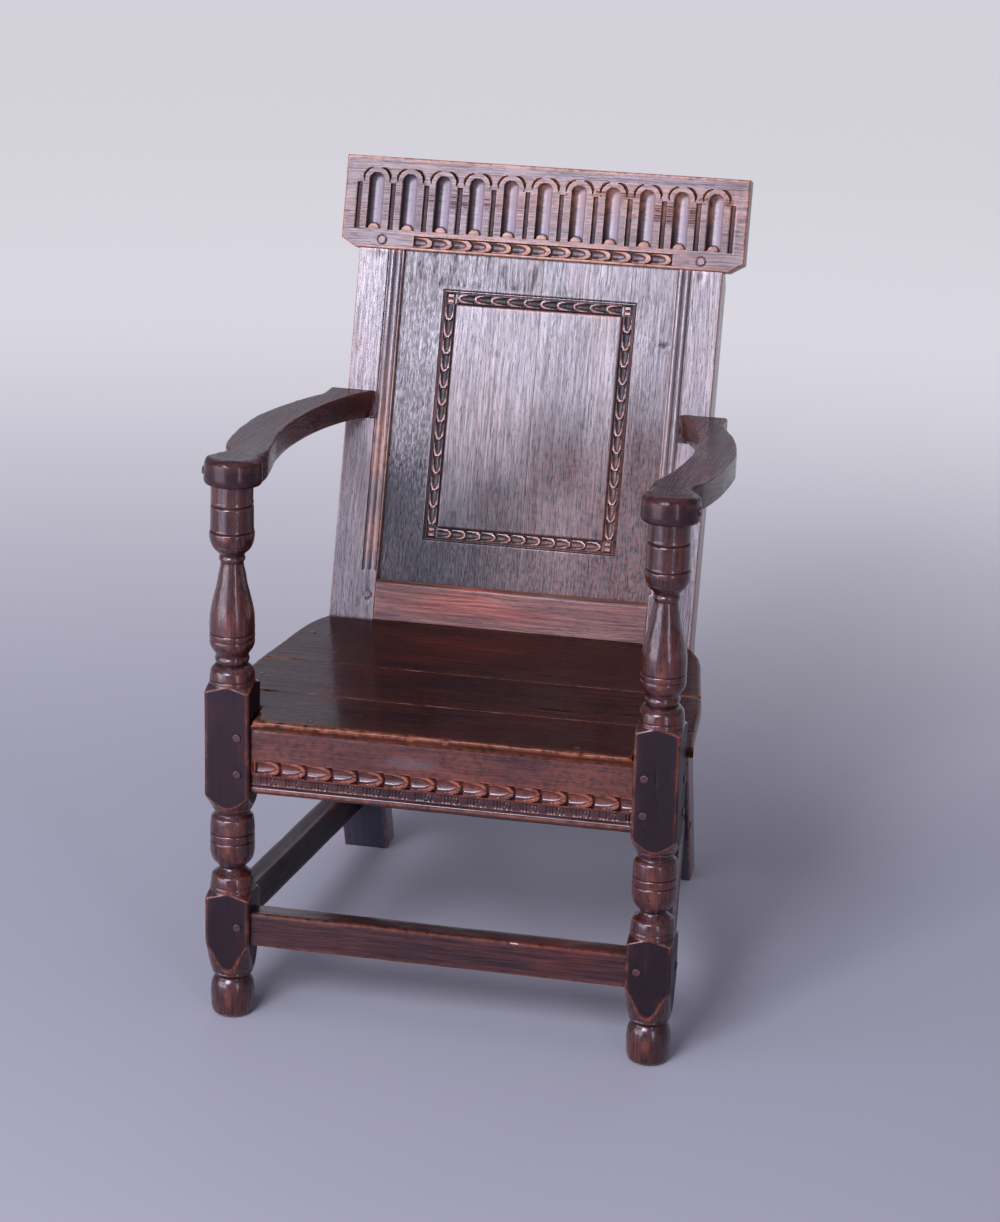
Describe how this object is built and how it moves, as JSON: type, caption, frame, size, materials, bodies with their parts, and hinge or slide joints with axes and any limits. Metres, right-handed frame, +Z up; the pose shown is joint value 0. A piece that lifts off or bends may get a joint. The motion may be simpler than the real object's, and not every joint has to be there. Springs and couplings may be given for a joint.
{
  "type": "wainscot chair",
  "caption": "Joined oak armchair: raked framed and panelled back with an arcaded crest rail, bowed arms on turned front posts, boarded seat, pegged rails and low stretchers",
  "frame": {"origin": "on the floor under the middle of the bounding box", "axes": "+Z up, +X to the right seen from the front, +Y to the rear; the sitter faces -Y"},
  "size_m": [0.634, 0.704, 0.9723],
  "materials": {
    "oak_frame": "dark waxed",
    "oak_seat": "dark, polished by use",
    "oak_back_frame": "dark waxed",
    "oak_panel": "dark waxed",
    "oak_crest": "waxed, worn lighter",
    "oak_back_rail": "waxed, reddish",
    "oak_arms": "waxed, polished by hands",
    "oak_pegs": "dark waxed"
  },
  "bodies": {
    "root": {"front_post_left": "oak_frame", "front_post_right": "oak_frame", "back_post_left": "oak_back_frame", "back_post_right": "oak_back_frame", "front_seat_rail": "oak_frame", "side_seat_rail_left": "oak_frame", "side_seat_rail_right": "oak_frame", "rear_seat_rail": "oak_frame", "front_stretcher": "oak_frame", "side_stretcher_left": "oak_frame", "side_stretcher_right": "oak_frame", "rear_stretcher": "oak_frame", "seat_board_front": "oak_seat", "seat_board_middle": "oak_seat", "seat_board_rear": "oak_seat", "back_bottom_rail": "oak_back_rail", "crest_rail": "oak_crest", "back_panel_left": "oak_panel", "back_panel_right": "oak_panel", "arm_left": "oak_arms", "arm_right": "oak_arms", "crest_pegs": "oak_pegs", "back_rail_pegs": "oak_pegs", "front_seat_rail_pegs": "oak_pegs", "side_seat_rail_pegs": "oak_pegs", "rear_seat_rail_pegs": "oak_pegs", "front_stretcher_pegs": "oak_pegs", "side_stretcher_pegs": "oak_pegs", "rear_stretcher_pegs": "oak_pegs", "arm_pegs": "oak_pegs", "seat_pegs": "oak_pegs"}
  },
  "joints": []
}
